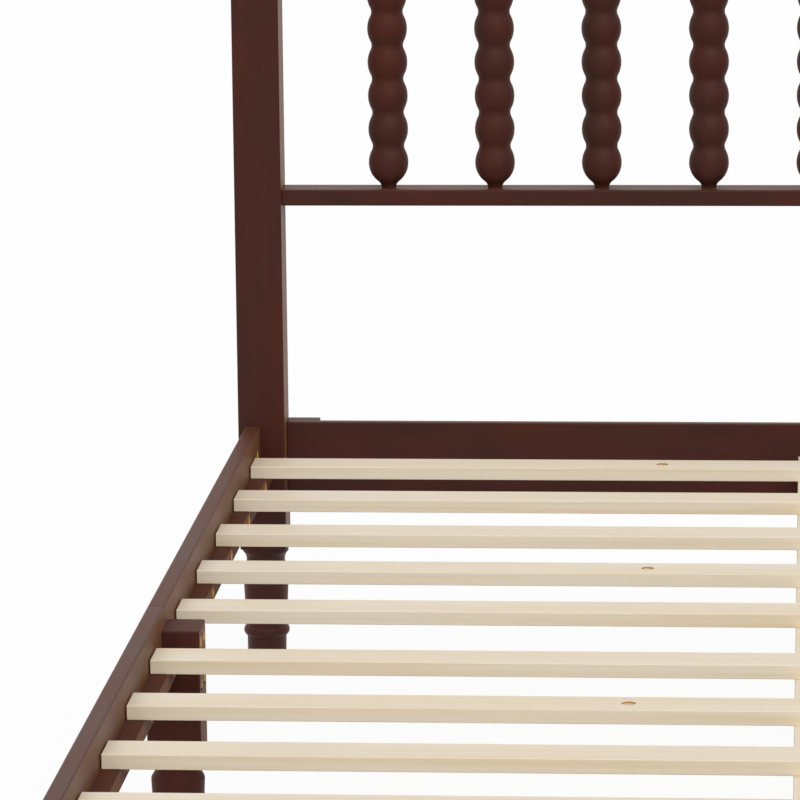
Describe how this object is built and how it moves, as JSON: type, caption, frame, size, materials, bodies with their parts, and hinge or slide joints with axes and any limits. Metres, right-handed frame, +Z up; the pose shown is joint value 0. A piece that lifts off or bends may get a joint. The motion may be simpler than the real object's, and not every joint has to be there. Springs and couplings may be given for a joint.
{
  "type": "spindle bed",
  "caption": "Wooden bed frame with square posts on turned feet, a headboard of beaded spindles, board side rails and a slatted base on a centre beam.",
  "frame": {"origin": "on the floor, under the middle of the bed", "axes": "+X across the bed to the right seen from the foot end, +Y along it towards the headboard, +Z up"},
  "size_m": [1.434, 2.046, 1.1463],
  "materials": {
    "stained_wood": "red-brown walnut stain under a thin satin lacquer, raw wood inside the bored holes",
    "pine": "planed softwood, not finished",
    "blackened_bolt": "black oxide on steel",
    "brass_nut": "machined brass",
    "zinc_screw": "yellow zinc plating"
  },
  "bodies": {
    "root": {"beam_rest_foot": "pine", "beam_rest_head": "pine", "beam_rest_screws": "zinc_screw", "center_beam_foot": "pine", "center_beam_head": "pine", "center_leg_foot": "pine", "center_leg_head": "pine", "center_leg_middle": "pine", "center_leg_studs": "zinc_screw", "cleat_left_foot": "stained_wood", "cleat_left_head": "stained_wood", "cleat_right_foot": "stained_wood", "cleat_right_head": "stained_wood", "cleat_screws": "zinc_screw", "corner_block_left_foot": "stained_wood", "corner_block_left_head": "stained_wood", "corner_block_right_foot": "stained_wood", "corner_block_right_head": "stained_wood", "corner_block_screws": "zinc_screw", "end_rail_foot": "stained_wood", "end_rail_head": "stained_wood", "foot_post_left": "stained_wood", "foot_post_right": "stained_wood", "head_crest_rail": "stained_wood", "head_mid_rail": "stained_wood", "head_post_left": "stained_wood", "head_post_right": "stained_wood", "head_spindle_1": "stained_wood", "head_spindle_2": "stained_wood", "head_spindle_3": "stained_wood", "head_spindle_4": "stained_wood", "head_spindle_5": "stained_wood", "head_spindle_6": "stained_wood", "head_spindle_7": "stained_wood", "head_spindle_8": "stained_wood", "head_spindle_9": "stained_wood", "mid_leg_bolts_left": "blackened_bolt", "mid_leg_bolts_right": "blackened_bolt", "mid_leg_inserts_left": "brass_nut", "mid_leg_inserts_right": "brass_nut", "mid_leg_left": "stained_wood", "mid_leg_right": "stained_wood", "rail_barrel_nuts_foot": "brass_nut", "rail_barrel_nuts_head": "brass_nut", "rail_bolts_foot": "blackened_bolt", "rail_bolts_head": "blackened_bolt", "side_rail_left_foot": "stained_wood", "side_rail_left_head": "stained_wood", "side_rail_right_foot": "stained_wood", "side_rail_right_head": "stained_wood", "slat_01": "pine", "slat_02": "pine", "slat_03": "pine", "slat_04": "pine", "slat_05": "pine", "slat_06": "pine", "slat_07": "pine", "slat_08": "pine", "slat_09": "pine", "slat_10": "pine"}
  },
  "joints": []
}
